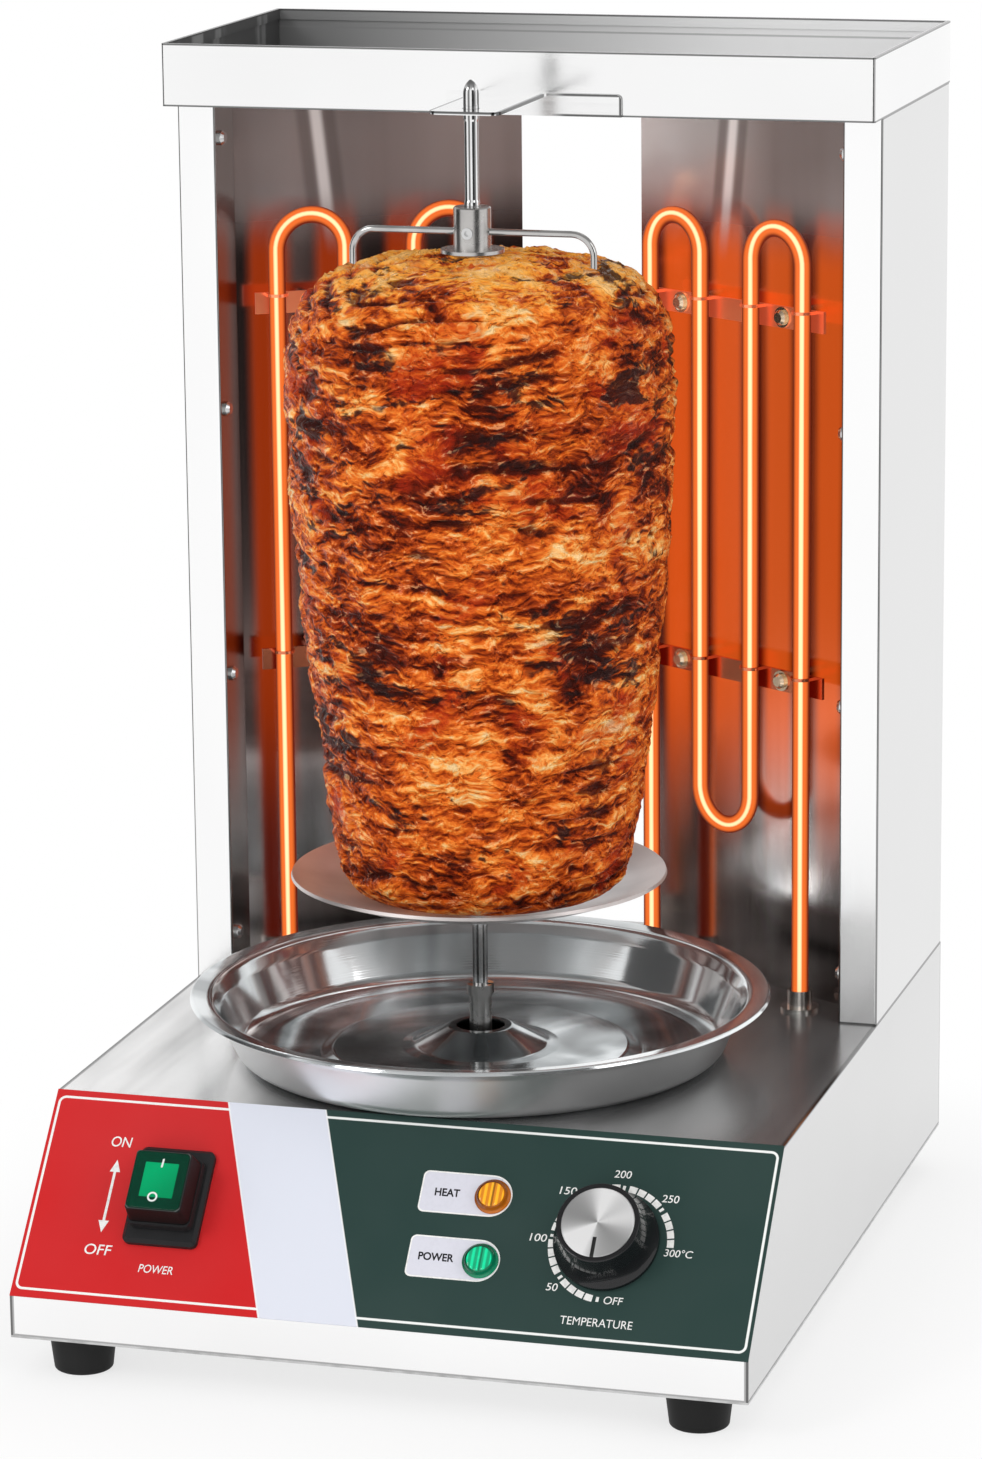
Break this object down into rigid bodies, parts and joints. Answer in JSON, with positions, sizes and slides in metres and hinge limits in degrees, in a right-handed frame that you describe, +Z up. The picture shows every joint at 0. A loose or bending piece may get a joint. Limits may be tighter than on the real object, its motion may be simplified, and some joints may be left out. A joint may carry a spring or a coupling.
{
  "type": "electric skewer grill",
  "caption": "Vertical electric grill: angled control base, heated columns with a bent tube element each, a driven upright skewer with a plate and fork, a drip tray and an open-topped hood.",
  "frame": {"origin": "centre of the footprint on the table plane, under the feet", "axes": "+X to the user's right, +Y to the rear, +Z up; the control panel faces -Y"},
  "size_m": [0.331, 0.4064, 0.5565],
  "materials": {
    "stainless": "satin brushed",
    "mirror_steel": "mirror polished",
    "galvanised": "plain zinc-coated sheet",
    "screw_steel": "bright plated",
    "foot_rubber": "matt black",
    "overlay_print": "satin printed sheet in a red, a white and a dark green field",
    "switch_black": "satin black",
    "rocker_green": "lit green",
    "cap_clear": "clear soft vinyl",
    "amber_lens": "translucent amber",
    "green_lens": "translucent green",
    "lamp_housing": "plain moulded",
    "knob_black": "gloss black",
    "knob_silver": "spun",
    "element_sheath": "oxidised sheath, glowing orange when on",
    "brass": "machined",
    "motor_zinc": "plated can",
    "gland_black": "matt black",
    "terminal_white": "matt",
    "meat": "roasted, wet"
  },
  "bodies": {
    "base": {"base_wrap": "stainless", "base_side_left": "stainless", "base_side_right": "stainless", "bottom_plate": "galvanised", "foot_front_left": "foot_rubber", "foot_front_right": "foot_rubber", "foot_rear_left": "foot_rubber", "foot_rear_right": "foot_rubber", "foot_screws": "screw_steel", "control_overlay": "overlay_print", "switch_frame": "switch_black", "switch_body": "switch_black", "switch_cap": "cap_clear", "heat_lamp_lens": "amber_lens", "heat_lamp_body": "lamp_housing", "power_lamp_lens": "green_lens", "power_lamp_body": "lamp_housing", "thermostat_body": "galvanised", "cable_gland": "gland_black", "terminal_block": "terminal_white", "side_cover_left": "stainless", "side_cover_right": "stainless", "reflector_left": "mirror_steel", "reflector_right": "mirror_steel", "reflector_screws": "screw_steel", "rear_cover_left": "stainless", "rear_cover_right": "stainless", "rear_cover_screws": "screw_steel", "top_hood": "stainless", "skewer_bracket": "stainless", "heating_element_left": "element_sheath", "heating_element_right": "element_sheath", "element_ferrules": "screw_steel", "clip_strip_upper_left": "stainless", "clip_strip_upper_right": "stainless", "clip_strip_lower_left": "stainless", "clip_strip_lower_right": "stainless", "clip_screws": "screw_steel", "clip_spacers": "screw_steel", "motor_bracket": "galvanised", "gear_motor": "motor_zinc", "motor_screws": "screw_steel", "deck_bush": "brass"},
    "drive": {"drive_socket": "stainless", "drive_shaft": "stainless"},
    "skewer": {"skewer_rod": "stainless", "support_plate": "stainless", "plate_hub": "stainless", "hub_screw": "screw_steel", "meat_stack": "meat"},
    "fork": {"fork_hub": "stainless", "fork_prongs": "stainless", "fork_screw": "screw_steel"},
    "knob": {"knob_body": "knob_black", "knob_cap": "knob_silver", "knob_spindle": "brass"},
    "rocker": {"power_rocker": "rocker_green"},
    "tray": {"drip_tray": "mirror_steel"}
  },
  "joints": [
    {"name": "drive_spin", "type": "hinge", "parent": "base", "child": "drive", "pos_m": [0, -0.031, 0.111], "axis": [0, 0, 1], "continuous": true},
    {"name": "skewer_lift", "type": "slide", "parent": "drive", "child": "skewer", "axis": [0, 0, 1], "range_m": [0, 0.026]},
    {"name": "fork_slide", "type": "slide", "parent": "skewer", "child": "fork", "axis": [0, 0, 1], "range_m": [0, 0.012]},
    {"name": "temperature_knob", "type": "hinge", "parent": "base", "child": "knob", "pos_m": [0.0956, -0.16813, 0.07364], "axis": [0, 0.7463, -0.6656], "range_deg": [0, 270]},
    {"name": "power_rocker", "type": "hinge", "parent": "base", "child": "rocker", "pos_m": [-0.102, -0.17125, 0.0799], "axis": [1, 0, 0], "range_deg": [0, 14]},
    {"name": "drip_tray_lift", "type": "slide", "parent": "base", "child": "tray", "axis": [0, 0, 1], "range_m": [0, 0.045]}
  ]
}
